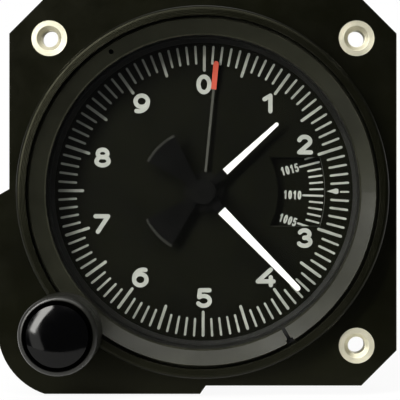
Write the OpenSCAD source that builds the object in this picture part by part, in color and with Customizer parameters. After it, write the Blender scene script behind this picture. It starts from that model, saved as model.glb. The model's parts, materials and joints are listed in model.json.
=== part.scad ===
// Panel altimeter with three pointers, a pressure window and a setting knob.
// Every piece is drawn in face coordinates: x to the right, y up, z out of the dial toward
// the pilot, with z = 0 on the front face of the mounting flange. The module on_panel()
// stands that frame up, so the finished part looks toward -Y with +Z up.

/* [Flange] */
// Distance of the flange's straight sides outside the case's wall
flange_margin = 2.8; // [2.2:0.1:4]
// Thickness of the flange and of the knob ear
flange_t = 4; // [3:0.5:6]
// Leg of the cut at three of the flange's corners
corner_cut = 7.2; // [4:0.2:7.6]
// Distance of a mounting bolt's axis outside the case's wall
bolt_out = 7.65; // [7.2:0.05:9]
// Distance of the knob ear's left side from the knob's axis
ear_side = 13.7; // [12.6:0.1:13.9]
// Distance of the knob ear's bottom side from the knob's axis
ear_below = 13.3; // [12.6:0.1:13.9]
// Half the length of the slope where the knob ear begins
ear_slope = 0.6; // [0.3:0.1:2]
// Radius of the ear's round corner
ear_corner_r = 14; // [13.6:0.1:14.4]
// Outer diameter of a threaded insert
insert_d = 7.3; // [6.4:0.1:7.8]
// Thread bore of an insert
insert_bore_d = 3.5; // [3:0.05:3.8]
// Depth of the countersink in an insert's mouth
insert_mouth = 0.8; // [0.3:0.1:1]
// Length of an insert
insert_len = 4.5; // [4:0.5:10]

/* [Case] */
// Outer diameter of the case
tube_d = 73.6; // [70:0.2:80]
// Step from the case's wall out to the front boss
boss_step = 1; // [0.8:0.1:1.6]
// Height of the boss in front of the flange
boss_h = 4; // [3.4:0.1:4.3]
// Radius of the boss's rounded edge
boss_edge = 0.9; // [0.3:0.1:1.2]
// Wall of the case around the retaining ring
face_wall = 1; // [0.9:0.1:1.4]
// Wall of the case behind its front collar
tube_wall = 2.5; // [1.6:0.1:2.8]
// Depth of the case behind the flange's front face
case_depth = 60; // [54:0.5:80]
// Step from the case's wall out to the collar behind the flange
collar_step = 1.7; // [1:0.1:2.4]
// Radius of the round housing of the setting pinion
lobe_r = 13; // [12.6:0.1:13]
// Thickness of the rear cover
cover_t = 2.8; // [2:0.2:5]
// Thickness of the rear cover behind the pivot's bush
bush_floor = 0.8; // [0.6:0.1:1.2]
// Thickness of the rear cover's gasket
gasket_t = 0.4; // [0.2:0.1:1]
// Shank diameter of a case screw
cover_screw_d = 2.4; // [1.8:0.1:2.8]
// Length of a rear cover screw under its head
cover_screw_len = 9; // [6:0.5:12]
// Distance of a rear cover screw's axis outside the case's wall
cover_screw_out = 1; // [0.6:0.1:1.6]
// Radius of the ears that take the rear cover screws
cover_ear_r = 3.2; // [2.8:0.1:3.6]
// Outer diameter of the static port's hose tube
nipple_d = 6; // [5:0.1:8]
// Bore of the static port
nipple_bore_d = 3.4; // [2:0.1:4]
// Length of the hose tube behind its hexagon
nipple_len = 11; // [8:0.5:16]
// Sideways place of the static port on the rear cover
nipple_x = 15; // [12:0.5:16]
// Height of the static port on the rear cover
nipple_y = 12; // [10:0.5:14]
// Diameter of the static port's stem in the rear cover
nipple_stem_d = 6.8; // [6:0.1:8]
// Diameter of the static port's hexagon over its corners
hex_d = 12; // [10:0.2:14]
// Thickness of the static port's hexagon
hex_t = 3; // [2:0.2:5]
// Thickness of the static port's washer
washer_t = 0.5; // [0.3:0.1:1]

/* [Front] */
// Width of the retaining ring inside the case's front bore
ring_w = 3.8; // [2.6:0.1:4.4]
// Gap between the retaining ring's raised face and the bore's wall
ring_face_gap = 0.4; // [0.3:0.1:0.8]
// Width of the flat land at the retaining ring's inner edge
ring_land = 0.3; // [0.2:0.1:0.6]
// Height of the retaining ring's face above its foot
ring_h = 2.1; // [1.2:0.1:2.4]
// Thickness of the retaining ring's spring foot
ring_foot_t = 0.6; // [0.4:0.1:0.8]
// Angle of the ring's split, clockwise from the top
ring_split_at = 149.5; // [100:0.5:200]
// Width of the ring's split
ring_split_w = 0.8; // [0.3:0.1:1]
// Width of the pry notch at the ring's split
notch_w = 1.6; // [1:0.1:3]
// Angle of the ring's pry hole, clockwise from the top
ring_hole_at = 326.9; // [300:0.1:350]
// Diameter of the ring's pry hole
ring_hole_d = 1; // [0.6:0.1:1.4]
// Distance of the ring's pry hole from the bore's wall
ring_hole_in = 1.8; // [1.4:0.1:2]
// Depth of the retaining ring's groove in the case
groove_depth = 0.3; // [0.2:0.05:0.5]
// Thickness of the front glass
glass_t = 2; // [1.5:0.1:2.5]
// Thickness of the seal behind the glass
seal_t = 0.3; // [0.2:0.05:0.5]
// Depth of the dial's face behind the flange
dial_depth = 6; // [5.8:0.1:6.4]
// Thickness of the dial plate
dial_t = 1; // [0.6:0.1:1.2]
// Width of the bevel between the retaining ring and the dial
bevel_w = 0.9; // [0.5:0.1:1.4]
// Radius of the hole in the dial for the pointers' sleeves
dial_hole_r = 2.4; // [2.3:0.05:2.6]
// Width of the pressure window along the dial's radius
window_w = 9.8; // [6:0.1:11]
// Overlap of the scale disc beyond the pressure window
window_overlap = 1.7; // [1:0.1:3]
// Height of the pressure window between its straight edges
window_h = 14.4; // [10:0.2:15]

/* [Pointers] */
// Gap between the long pointer's tip and the dial's visible edge
long_gap = 2.7; // [1.5:0.1:7]
// Width of the long pointer near its hub
long_w = 2.15; // [1.4:0.05:3]
// Width of the long pointer at its tip
long_tip_w = 1.1; // [0.6:0.05:1.6]
// Angle of the long pointer at rest, clockwise from the top
long_at = 135.6; // [0:0.1:360]
// Gap between the short pointer's tip and the dial's visible edge
short_gap = 10.1; // [8:0.1:14]
// Width of the short pointer near its hub
short_w = 1.75; // [1.2:0.05:3]
// Width of the short pointer at its tip
short_tip_w = 0.8; // [0.5:0.05:1.4]
// Angle of the short pointer at rest, clockwise from the top
short_at = 47.4; // [0:0.1:360]
// Gap between the third pointer's tip and the dial's visible edge
third_gap = 3.8; // [2:0.1:8]
// Width of the third pointer's stem
third_w = 0.5; // [0.3:0.05:1]
// Width of the third pointer's tip
third_tip_w = 1.1; // [0.6:0.05:2]
// Length of the third pointer's wide tip
third_tip_len = 6; // [3:0.1:9]
// Angle of the third pointer at rest, clockwise from the top
third_at = 5.6; // [0:0.1:360]
// Radius of the counterweights' round edge
tail_r = 13.3; // [9:0.1:15]
// Angle that a counterweight spans
tail_span = 34; // [20:1:50]
// Thickness of a pointer
pointer_t = 0.3; // [0.2:0.05:0.5]
// Height of the pointers' levels above each other
pointer_step = 1.1; // [0.9:0.05:1.2]
// Height of the third pointer above the dial
pointer_lift = 0.8; // [0.6:0.05:0.9]
// Radius of the third pointer's disc
third_disc_r = 4.2; // [3:0.1:5]
// Radius of the short pointer's hub
hub_r = 2.6; // [2.2:0.1:3]
// Step from the short pointer's hub in to the long pointer's
hub_taper = 0.1; // [0.05:0.05:0.3]
// Height of a hub above its pointer
hub_step = 0.3; // [0.2:0.05:0.4]
// Thickness of the long pointer's hub cap
hub_cap_t = 0.6; // [0.3:0.1:0.8]

/* [Setting knob] */
// Distance of the knob's axis outside the case's wall
knob_out = 2.8; // [2.6:0.1:3.4]
// Diameter of the knob
knob_d = 15.8; // [13:0.1:17]
// Gap between the knob and the boss's front
knob_gap = 0.8; // [0.5:0.1:2]
// Height of the knob's body
knob_h = 9.6; // [7:0.1:13]
// Radius of the knob's rounded front edge
knob_edge = 1.1; // [0.4:0.1:1.4]
// Width of the knob's rim outside the groove around its cap
knob_rim_w = 1.1; // [1:0.1:1.6]
// Width of the groove around the knob's glossy cap
cap_gap = 0.7; // [0.3:0.1:1]
// Depth of the seat that the cap fills
cap_seat = 2.2; // [1.6:0.1:3]
// Radius of the collet that grips the shaft
collet_r = 3.2; // [2.6:0.1:3.8]
// Length of the collet screw's head
collet_head = 1.4; // [1:0.1:1.8]
// Height of the cap's dome above the knob's body
dome_h = 1.5; // [0.8:0.1:2.5]
// Diameter of the knob's shaft
knob_shaft_d = 3; // [2.4:0.1:3]
// Step from the shaft out to its stop collar
shaft_collar_step = 1; // [0.6:0.1:1.1]
// Radius of the shaft's rear pivot
shaft_end_r = 1; // [0.7:0.1:1.1]
// Thickness of the bushing's shoulder
bushing_shoulder = 1.5; // [1:0.1:3]
// Wire radius of the shaft's seal
seal_wire = 0.5; // [0.3:0.05:0.6]
// Outer diameter of the shaft's bushing
bushing_d = 7; // [6.6:0.1:7.4]
// Leaves of the setting pinion
pinion_teeth = 16; // [14:1:18]
// Teeth of the setting ring gear
ring_teeth = 72; // [70:1:74]
// Thickness of the setting ring gear
ring_gear_t = 2; // [1.4:0.1:2.4]
// Thickness of the cover over the setting pinion
pinion_cover_t = 1.6; // [1:0.1:2.4]
// Distance of the cover's screws outside the pinion's chamber
pinion_screw_out = 2; // [1.8:0.1:2.4]
// Shank diameter of a pinion cover screw
pinion_screw_d = 1.92; // [1.4:0.02:2]
// Length of a pinion cover screw in the case
pinion_screw_len = 3.5; // [2:0.1:4]
// Gap between the setting pinion's tips and its chamber
chamber_gap = 0.5; // [0.3:0.05:0.6]
// Depth of the pinion's chamber behind the ring gear
chamber_room = 1.5; // [1:0.1:2]
// Width of the setting ring gear's band inside the plates' rim
ring_gear_w = 2; // [1.6:0.1:2.4]

/* [Movement] */
// Thickness of the movement's three plates
plate_t = 1.5; // [1:0.1:2]
// Gap between a plate and the nearest gear layer
train_gap = 0.3; // [0.25:0.05:0.5]
// Room between the rear plate and the rear cover's gasket
rear_room = 1.4; // [1.2:0.1:2]
// Distance between two neighbouring gear layers
layer_step = 1.6; // [1.5:0.05:1.8]
// Thickness of a wheel
wheel_t = 0.8; // [0.5:0.05:0.9]
// Length of a pinion's leaves
leaf_len = 1.2; // [0.9:0.05:1.3]
// Width of the ledge that carries the dial plate
ledge_w = 3.35; // [3:0.05:4]
// Thickness of the ledge that carries the dial plate
ledge_t = 3.3; // [2.8:0.1:4]
// Distance of a pillar's axis inside the plates' rim
pillar_margin = 4.4; // [4:0.1:5]
// Angle of the first pillar from the vertical
pillar_angle = 30; // [26:1:34]
// Diameter of a pillar
pillar_d = 4; // [3:0.1:4.4]
// Diameter of a movement screw's shank
screw_d = 1.6; // [1.2:0.1:2]
// Length of a movement screw
screw_len = 4; // [3:0.2:6]
// Diameter of the rocking shaft
arbor_d = 1.6; // [1.2:0.1:1.8]
// Diameter of the arbors that carry wheels
wheel_arbor_d = 1.4; // [1:0.1:1.6]
// Diameter of the arbors' pivots
pivot_d = 0.9; // [0.7:0.05:1]
// Outer diameter of a jewel
jewel_d = 2.4; // [2:0.1:3]
// Diameter of the pointer staff
staff_d = 1.4; // [1.2:0.05:1.6]
// Wall of the two pointer sleeves
sleeve_wall = 0.55; // [0.4:0.05:0.6]
// Diameter of the movement's rear pivot
rear_pivot_d = 5; // [4:0.1:6]
// Wall of the bush around the rear pivot
bush_wall = 1.6; // [1:0.1:2.4]
// Thickness of the pressure scale's disc
scale_t = 0.5; // [0.3:0.05:0.8]
// Gap between the dial plate and the pressure scale
scale_drop = 0.6; // [0.5:0.05:0.8]
// Gap between the scale disc's edge and the front plate's rim
scale_gap = 2.4; // [1.5:0.1:3]
// Radius of the boss that carries the scale disc
scale_boss_r = 8; // [7:0.1:9]
// Wall of the front plate's raised rim
plate_rim_wall = 1.5; // [1.2:0.1:1.8]
// Distance of a ring gear rivet inside the plates' rim
rivet_in = 1; // [0.9:0.05:1.1]
// Radius of a ring gear rivet
rivet_r = 0.6; // [0.4:0.05:0.8]
// Distance of a scale screw inside its boss's edge
scale_screw_in = 1.7; // [1.5:0.1:2]
// Length of the threads that join the front and rear pillars
pillar_thread = 2.8; // [2:0.1:3.4]

/* [Gear train] */
// Teeth that the sector would have as a whole wheel
sector_teeth = 100; // [96:1:104]
// Leaves of the pinion on the second arbor
second_leaves = 10; // [10:1:12]
// Tooth size of the sector and its pinion
sector_module = 0.32; // [0.31:0.005:0.33]
// Teeth of the second wheel
second_teeth = 80; // [76:1:82]
// Leaves of the pinion that drives the pointer staff
staff_leaves = 10; // [10:1:12]
// Tooth size of the second wheel and the staff's pinion
second_module = 0.3; // [0.29:0.005:0.31]
// Leaves of the motion work's pinions
motion_leaves = 12; // [10:1:12]
// Teeth of the two idler wheels
idler_teeth = 36; // [32:1:36]
// Teeth of the wheels on the two pointer sleeves
sleeve_teeth = 40; // [36:1:40]
// Tooth size of the idler wheels
idler_module = 0.39; // [0.37:0.005:0.4]
// Angle of the rocking shaft from the x axis, counterclockwise
rocker_at = -40; // [-44:1:-36]
// Distance of the rocking shaft from the dial's axis
rocker_r = 20; // [19.6:0.1:20.6]
// Angle of the first idler from the x axis, counterclockwise
first_idler_at = -120; // [-124:1:-116]
// Angle of the second idler from the x axis, counterclockwise
second_idler_at = 180; // [176:1:184]
// Length of the rocking shaft's arm
arm_len = 6; // [5:0.1:6.4]
// Width of the rocking shaft's arm
arm_w = 1.6; // [1:0.1:1.8]
// Radius of the arm's hub
arm_hub_r = 2; // [1.6:0.1:2.4]
// Radius of the arm's pin
pin_r = 0.5; // [0.4:0.05:0.6]
// Gap between the link and the arm
arm_gap = 0.3; // [0.2:0.05:0.5]
// Turn of the rocking shaft from the middle of its travel at rest
rest_back = 15.85; // [10:0.05:18]
// Inner radius of the hairspring
hair_in_r = 1.7; // [1.5:0.1:2]
// Outer radius of the hairspring
hair_out_r = 5.2; // [4.6:0.1:5.6]
// Turns of the hairspring
hair_turns = 5; // [4:1:6]
// Thickness of the hairspring's strip
hair_t = 0.2; // [0.15:0.05:0.25]
// Height of the hairspring's strip
hair_h = 0.6; // [0.4:0.05:0.8]
// Radius of the hairspring's stud
stud_r = 0.5; // [0.4:0.05:0.7]

/* [Aneroid] */
// Clearance around the capsules to the plates and pillars
capsule_clear = 1.45; // [1:0.05:3]
// Thickness of one capsule over its corrugations
capsule_t = 5; // [4:0.1:5.2]
// Number of capsules in the stack
capsule_count = 3; // [2:1:3]
// Gap between neighbouring capsules, bridged by a post
capsule_gap = 0.8; // [0.5:0.1:1]
// Radius of the post between two capsules
capsule_post_r = 1.8; // [1.2:0.1:2.2]
// Width of a capsule's flat soldered rim
capsule_rim_w = 1.2; // [0.8:0.1:1.6]
// Gap between the bracket and the first capsule
stack_gap = 2; // [1.4:0.1:2.4]
// Distance of the bracket's inner face inside the plates' rim
bracket_margin = 4.9; // [4:0.1:5.3]
// Width of the capsule bracket
bracket_w = 16; // [12:0.5:18]
// Reach of the bracket behind the capsules' axis
bracket_reach = 7; // [5:0.5:9]
// Distance of a bracket screw from the bracket's side
bracket_screw_in = 2.5; // [2.2:0.1:3]
// Distance of a bracket screw from the end of the foot
foot_screw_in = 2.2; // [1.8:0.1:2.6]
// Length of the bracket's foot
foot_len = 7; // [6:0.5:9]
// Thickness of the bracket's foot
foot_t = 0.9; // [0.6:0.1:1.2]
// Radius of the threaded stud that carries the capsules
stack_stud_r = 1.5; // [1:0.1:2]
// Radius of the stud's nuts over their corners
nut_r = 3; // [2.6:0.1:4]
// Thickness of the stud's outer nut
outer_nut_t = 1.2; // [0.8:0.1:1.6]
// Thickness of the stud's inner nut
inner_nut_t = 1; // [0.8:0.1:1.2]
// Length of the stud outside its outer nut
stud_end = 0.4; // [0.2:0.1:1]
// Length of the boss that the capsules push
boss_len = 3; // [2.5:0.1:4]
// Radius of the boss that the capsules push
capsule_boss_r = 2.2; // [1.8:0.1:2.6]
// Thickness of the capsule bracket
bracket_t = 1.5; // [1:0.1:2]
// Height of the capsules' axis above the dial's axis
capsule_y = 2; // [1:0.1:3]
// Thickness of the link and of the rocking arm
link_t = 0.9; // [0.6:0.05:1]
// Width of the link
link_w = 1.4; // [1:0.1:1.6]
// Length of the link's end inside the boss's slot
link_in = 1; // [0.8:0.1:1.4]
// Half the play of the arm's pin along the link's slot
pin_play = 0.35; // [0.3:0.05:0.5]

/* [Clearances] */
// Radial clearance of a shaft that turns in its hole
run_gap = 0.05; // [0.02:0.01:0.08]
// Radial clearance of a piece that is seated in another
seat_gap = 0.1; // [0.05:0.05:0.2]
// End play between turning pieces and their stops
end_play = 0.2; // [0.1:0.05:0.3]
// Angle taken off each side of a tooth, as a share of the pitch
tooth_slack = 0.02; // [0.01:0.005:0.04]

/* [Hidden] */
$fn = 48;

black = "#1b1b1c";
brass = "#c2a153";
steel = "#b9bcbe";
nickel = "#d8d4c4";
white = "#e9e9e4";

// Outlines around the case, from its outer wall
case_r = tube_d / 2;
boss_r = case_r + boss_step;
collar_r = case_r + collar_step;
flange_half = case_r + flange_margin;
bolt_half = (case_r + bolt_out) / sqrt(2);
cover_screw_r = case_r + cover_screw_out;
knob_r = case_r + knob_out;
knob_offset = knob_r / sqrt(2);

// Front end, from the glass back to the dial
face_r = case_r - face_wall;
ring_in_r = face_r - ring_w;
dial_face_r = ring_in_r - bevel_w;
glass_front = glass_t / 2;
glass_back = -glass_t / 2;
glass_r = face_r - seat_gap * 2;
ring_groove_r = face_r + groove_depth;
ring_groove_h = ring_foot_t + end_play;
ring_foot_r = ring_groove_r - seat_gap;
dial_front = -dial_depth;
dial_back = dial_front - dial_t;

// Movement levels, from the scale disc back
ledge_back = dial_back - ledge_t;
ledge_hole_r = case_r - tube_wall - ledge_w;
plate_rim_r = ledge_hole_r - run_gap;
front_plate_back = ledge_back - end_play;
front_plate_front = front_plate_back + plate_t;
scale_front = dial_back - scale_drop;
rim_front = scale_front - end_play;
scale_r = plate_rim_r - plate_rim_wall - scale_gap;
window_out_r = scale_r - window_overlap;
window_in_r = window_out_r - window_w;
pillar_at_r = plate_rim_r - pillar_margin;
ring_gear_back = front_plate_back - ring_gear_t;
middle_plate_front = front_plate_back - 6 * layer_step - 2 * train_gap;
middle_plate_back = middle_plate_front - plate_t;
rear_plate_back = -case_depth + rear_room;
rear_plate_front = rear_plate_back + plate_t;
tube_in_r = case_r - tube_wall;
cover_front = -case_depth - gasket_t;
cover_back = cover_front - cover_t;
bush_back = cover_back + bush_floor;
bush_r = rear_pivot_d / 2 + bush_wall;
nipple_at = [nipple_x, nipple_y];
nipple_base = cover_back - washer_t;
nipple_tip = nipple_base - hex_t - nipple_len;

// Setting gears
knob_dir = 225;
setting_module = 2 * knob_r / (ring_teeth + pinion_teeth);
pinion_pitch_r = setting_module * pinion_teeth / 2;
ring_gear_in_r = plate_rim_r - ring_gear_w;
chamber_r = pinion_pitch_r + setting_module + chamber_gap;
chamber_back = ring_gear_back - chamber_room;
pinion_screw_r = chamber_r + pinion_screw_out;
knob_base = boss_h + knob_gap;
knob_top = knob_base + knob_h;
cap_groove_r = knob_d / 2 - knob_rim_w;
cap_r = cap_groove_r - cap_gap;
seal_h = 2 * seal_wire + seat_gap;
seal_out_r = knob_shaft_d / 2 + run_gap + 2 * seal_wire;
stop_r = knob_shaft_d / 2 + shaft_collar_step;
collet_front = knob_top - cap_seat - 2 * seat_gap;
collet_back = collet_front - collet_head;

// Gear train, on its arbors' centres
rocker = polar(rocker_r, rocker_at);
sector_pitch_r = sector_module * sector_teeth / 2;
second_pinion_r = sector_module * second_leaves / 2;
second_pitch_r = second_module * second_teeth / 2;
staff_pinion_r = second_module * staff_leaves / 2;
sector_reach = sector_pitch_r + second_pinion_r;
second_dist = second_pitch_r + staff_pinion_r;
second_turn = acos((second_dist ^ 2 + rocker_r ^ 2 - sector_reach ^ 2) / (2 * second_dist * rocker_r));
second_at = rocker_at + second_turn;
second = polar(second_dist, second_at);
sector_dir = atan2(second.y - rocker.y, second.x - rocker.x);
sector_half_teeth = 8;
sector_line = sector_dir + rest_back;
motion_dist = idler_module * (motion_leaves + idler_teeth) / 2;
sleeve_module = 2 * motion_dist / (motion_leaves + sleeve_teeth);
first_idler_c = polar(motion_dist, first_idler_at);
second_idler_c = polar(motion_dist, second_idler_at);
thin_r = wheel_arbor_d / 2;
pivot_in = 0.3;

// Phases that put each gear in mesh with the one before it
second_pinion_phase = in_mesh(sector_line, sector_teeth, second_leaves, sector_dir);
staff_pinion_phase = in_mesh(0, second_teeth, staff_leaves, second_at + 180);
first_wheel_phase = in_mesh(0, motion_leaves, idler_teeth, first_idler_at);
short_wheel_phase = in_mesh(0, motion_leaves, sleeve_teeth, first_idler_at + 180);
second_wheel_phase = in_mesh(0, motion_leaves, idler_teeth, second_idler_at);
third_wheel_phase = in_mesh(0, motion_leaves, sleeve_teeth, second_idler_at + 180);
pinion_phase = in_mesh(0, ring_teeth, pinion_teeth, knob_dir);

// Coaxial pointer sleeves
short_in_r = staff_d / 2 + run_gap;
short_out_r = short_in_r + sleeve_wall;
third_in_r = short_out_r + run_gap;
third_out_r = third_in_r + sleeve_wall;
scale_hole_r = third_out_r + 0.5;
third_level = dial_front + pointer_lift;
short_level = third_level + pointer_step;
long_level = short_level + pointer_step;
long_top = long_level + pointer_t + hub_step;
long_len = dial_face_r - long_gap;
short_len = dial_face_r - short_gap;
third_len = dial_face_r - third_gap;

// Aneroid stack, which lies along x
capsule_z = (middle_plate_back + rear_plate_front) / 2;
room_between_plates = (middle_plate_back - rear_plate_front) / 2;
room_at_pillars = pillar_at_r * cos(pillar_angle) - pillar_d / 2 - capsule_y;
capsule_r = min(room_between_plates, room_at_pillars) - capsule_clear;
bracket_at = plate_rim_r - bracket_margin;
stack_start = -bracket_at + stack_gap;
capsule_pitch = capsule_t + capsule_gap;
stack_end = stack_start + capsule_count * capsule_pitch - capsule_gap;
link_start = stack_end + boss_len;
arm_pin = rocker + arm_len * [-sin(rest_back), cos(rest_back)];
link_z = capsule_z;
arm_z = link_z + link_t + arm_gap;

function polar(r, a) = [r * cos(a), r * sin(a)];
function layer(n) = front_plate_back - train_gap - (n - 0.5) * layer_step;

// Involute tooth shape: angle between a tooth's centre line and its flank at radius r
function roll(r, base) = tan(acos(min(1, base / r))) * 180 / PI - acos(min(1, base / r));
function flank(r, n, m) =
  let (pitch = n * m / 2, base = pitch * cos(20))
  90 / n - 360 / n * tooth_slack + roll(pitch, base) - roll(max(r, base), base);
function tooth_radii(n, m, add, ded) =
  let (pitch = n * m / 2, base = pitch * cos(20), root = pitch - ded * m, tip = pitch + add * m)
  root < base ? [root, base, (base + tip) / 2, tip] : [root, pitch, tip];
function tooth(n, m, at, add, ded) =
  let (radii = tooth_radii(n, m, add, ded), last = len(radii) - 1)
  [
    for (i = [0:last]) polar(radii[i], at - flank(radii[i], n, m)),
    for (i = [0:last]) polar(radii[last - i], at + flank(radii[last - i], n, m))
  ];
function teeth(n, m, phase, first, last, add, ded) =
  [for (k = [first:last]) each tooth(n, m, phase + k * 360 / n, add, ded)];
function in_mesh(phase, n, mate_n, dir) = dir + 180 - 180 / mate_n + (dir - phase) * n / mate_n;

module on_panel() {
  rotate([90, 0, 0]) children();
}
module at_z(z) {
  translate([0, 0, z]) children();
}
module clock(a) {
  rotate([0, 0, -a]) children();
}
// A bar of height h whose top is at z
module bar(r, top, bottom) {
  at_z(bottom) cylinder(r = r, h = top - bottom);
}
module tube(out_r, in_r, top, bottom) {
  difference() {
    bar(out_r, top, bottom);
    bar(in_r, top + 1, bottom - 1);
  }
}
module slab(top, bottom) {
  at_z(bottom) linear_extrude(top - bottom) children();
}
// A wedge of the plane about the y axis, used to cut sectors out of rings
module wedge(span, reach) {
  far = reach * 1.5;
  polygon([[0, 0], [-far * sin(span / 2), far * cos(span / 2)], [far * sin(span / 2), far * cos(span / 2)]]);
}
module gear(n, m, phase, top, bottom, add = 0.9, ded = 1.2) {
  slab(top, bottom) polygon(teeth(n, m, phase, 0, n - 1, add, ded));
}
module at_knob() {
  translate([-knob_offset, -knob_offset, 0]) children();
}
module at_bolts() {
  for (p = [[-1, 1], [1, 1], [1, -1]]) translate([bolt_half * p.x, bolt_half * p.y, 0]) children();
}
module at_cover_screws() {
  for (a = [45:90:315]) rotate([0, 0, a]) translate([cover_screw_r, 0, 0]) children();
}
module at_pinion_screws() {
  at_knob() for (a = [150, 225, 300]) rotate([0, 0, a]) translate([pinion_screw_r, 0, 0]) children();
}
module at_pillars() {
  for (a = [pillar_angle, 180 - pillar_angle, 180 + pillar_angle, -pillar_angle])
    clock(a) translate([0, pillar_at_r, 0]) children();
}
// Countersunk screw with its flat face at z = 0, pointing down
module flush_screw(d, long) {
  at_z(-long) cylinder(r = d / 2, h = long);
  at_z(-d / 2) cylinder(r1 = d / 2, r2 = d, h = d / 2);
}
module flush_hole(d, long) {
  at_z(-long) cylinder(r = d / 2 + run_gap, h = long + 1);
  at_z(-d / 2 - run_gap) cylinder(r1 = d / 2 + run_gap, r2 = d + 2 * run_gap, h = d / 2 + run_gap + 0.01);
}

// Outline of the flange: a square with three cut corners, and the knob ear at the lower left
module flange_outline() {
  s = flange_half;
  c = corner_cut;
  left = knob_offset + ear_side;
  low = knob_offset + ear_below;
  polygon([
    [-s, -s + ear_corner_r], [-s + ear_corner_r, -s], [s - c, -s], [s, -s + c],
    [s, s - c], [s - c, s], [-s + c, s], [-s, s - c]
  ]);
  polygon([
    [0, 0], [-s, ear_slope], [-left, -ear_slope], [-left, -knob_offset], [-knob_offset, -low],
    [-ear_slope, -low], [ear_slope, -s]
  ]);
  intersection() {
    translate([-knob_offset, -knob_offset]) circle(r = ear_corner_r);
    translate([-left, -low]) square(knob_offset);
  }
}

module case_solid() {
  rotate_extrude() {
    translate([0, -flange_t]) square([boss_r, flange_t + boss_h - boss_edge]);
    square([boss_r - boss_edge, boss_h]);
    translate([boss_r - boss_edge, boss_h - boss_edge]) circle(r = boss_edge);
  }
  bar(collar_r, -flange_t, chamber_back);
  bar(case_r, 0, -case_depth);
  at_knob() bar(lobe_r, -flange_t, chamber_back);
  at_cover_screws() bar(cover_ear_r, -case_depth + cover_screw_len + 1, -case_depth);
}
module case_body() {
  color(black) on_panel() difference() {
    case_solid();
    bar(face_r, boss_h + 1, dial_back);
    bar(ring_groove_r, glass_front + ring_groove_h, glass_front);
    bar(ledge_hole_r, dial_back + 0.01, ledge_back - 0.01);
    bar(tube_in_r, ledge_back, -case_depth - 1);
    at_knob() bar(chamber_r, ledge_back, chamber_back - 1);
    at_knob() bar(bushing_d / 2, 1, ledge_back - 1);
    at_pinion_screws()
      bar(pinion_screw_d / 2 + run_gap, chamber_back + pinion_screw_len + end_play, chamber_back - 1);
    at_cover_screws() bar(cover_screw_d / 2 + run_gap, -case_depth + cover_screw_len, -case_depth - 1);
  }
}
module mounting_flange() {
  color(black) on_panel() difference() {
    slab(0, -flange_t) flange_outline();
    bar(boss_r, 1, -flange_t - 1);
    at_knob() bar(bushing_d / 2, 1, -flange_t - 1);
    at_bolts() bar(insert_d / 2, 1, -flange_t - 1);
  }
}
module mounting_inserts() {
  bore_r = insert_bore_d / 2;
  color(nickel) on_panel() at_bolts() difference() {
    bar(insert_d / 2, 0, -insert_len);
    bar(bore_r, 1, -insert_len - 1);
    at_z(-insert_mouth) cylinder(r1 = bore_r, r2 = bore_r + insert_mouth, h = insert_mouth + 0.001);
  }
}
module retaining_ring() {
  foot = glass_front;
  face = face_r - ring_face_gap;
  inner = ring_in_r;
  inner_t = 0.4;
  edge = 0.3;
  notch_depth = 0.9;
  color(black) on_panel() difference() {
    rotate_extrude() polygon([
      [inner, foot], [ring_foot_r, foot], [ring_foot_r, foot + ring_foot_t], [face, foot + ring_foot_t],
      [face, foot + ring_h - edge], [face - edge, foot + ring_h],
      [inner + ring_land, foot + inner_t], [inner, foot + inner_t]
    ]);
    clock(ring_split_at) translate([-ring_split_w / 2, 0, foot - 1]) cube([ring_split_w, boss_r, boss_h]);
    clock(ring_split_at)
      translate([-notch_w / 2, face - notch_depth, foot - 1]) cube([notch_w, boss_r, boss_h]);
    clock(ring_hole_at) translate([0, face_r - ring_hole_in, 0]) bar(ring_hole_d / 2, boss_h, foot - 1);
  }
}
module front_glass() {
  under_ring = 0.02;
  color("lightblue", 0.3) on_panel() bar(glass_r, glass_front - under_ring, glass_back);
}
module glass_seal() {
  inset = 0.4;
  color(black) on_panel() tube(glass_r, ring_in_r + inset, glass_back, glass_back - seal_t);
}
module spacer_ring() {
  top = glass_back - seal_t;
  wall_r = ring_in_r - seat_gap;
  edge = 0.2;
  color(black) on_panel() rotate_extrude() polygon([
    [dial_face_r, dial_front], [glass_r, dial_front], [glass_r, top], [wall_r, top],
    [wall_r, dial_front + wall_r - dial_face_r + edge], [dial_face_r, dial_front + edge]
  ]);
}
module dial_plate() {
  color(black) on_panel() slab(dial_front, dial_back) difference() {
    circle(r = face_r - seat_gap);
    circle(r = dial_hole_r);
    intersection() {
      difference() {
        circle(r = window_out_r);
        circle(r = window_in_r);
      }
      translate([0, -window_h / 2]) square([window_out_r, window_h]);
    }
  }
}

module knob_bushing() {
  color(brass) on_panel() at_knob() difference() {
    bar(bushing_d / 2, 0, ledge_back);
    bar(knob_shaft_d / 2 + run_gap, 1, ledge_back - 1);
    bar(seal_out_r, 1, -seal_h);
    bar(stop_r + run_gap, ledge_back + bushing_shoulder, ledge_back - 1);
  }
}
module shaft_seal() {
  color(black) on_panel() at_knob() at_z(-seal_h + seal_wire) rotate_extrude()
    translate([knob_shaft_d / 2 + run_gap + seal_wire, 0]) circle(r = seal_wire);
}
module gland_washer() {
  inset = 0.3;
  color(brass) on_panel() at_knob() tube(bushing_d / 2 - inset, knob_shaft_d / 2 + run_gap, knob_gap / 2, 0);
}
module pinion_cover() {
  color(black) on_panel() difference() {
    at_knob() bar(lobe_r, chamber_back, chamber_back - pinion_cover_t);
    bar(case_r + seat_gap, chamber_back + 1, chamber_back - pinion_cover_t - 1);
    at_knob() bar(shaft_end_r + run_gap, chamber_back + 1, chamber_back - pinion_cover_t - 1);
    at_z(chamber_back - pinion_cover_t) mirror([0, 0, 1]) at_pinion_screws()
      flush_hole(pinion_screw_d, pinion_cover_t + 1);
  }
}
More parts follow.
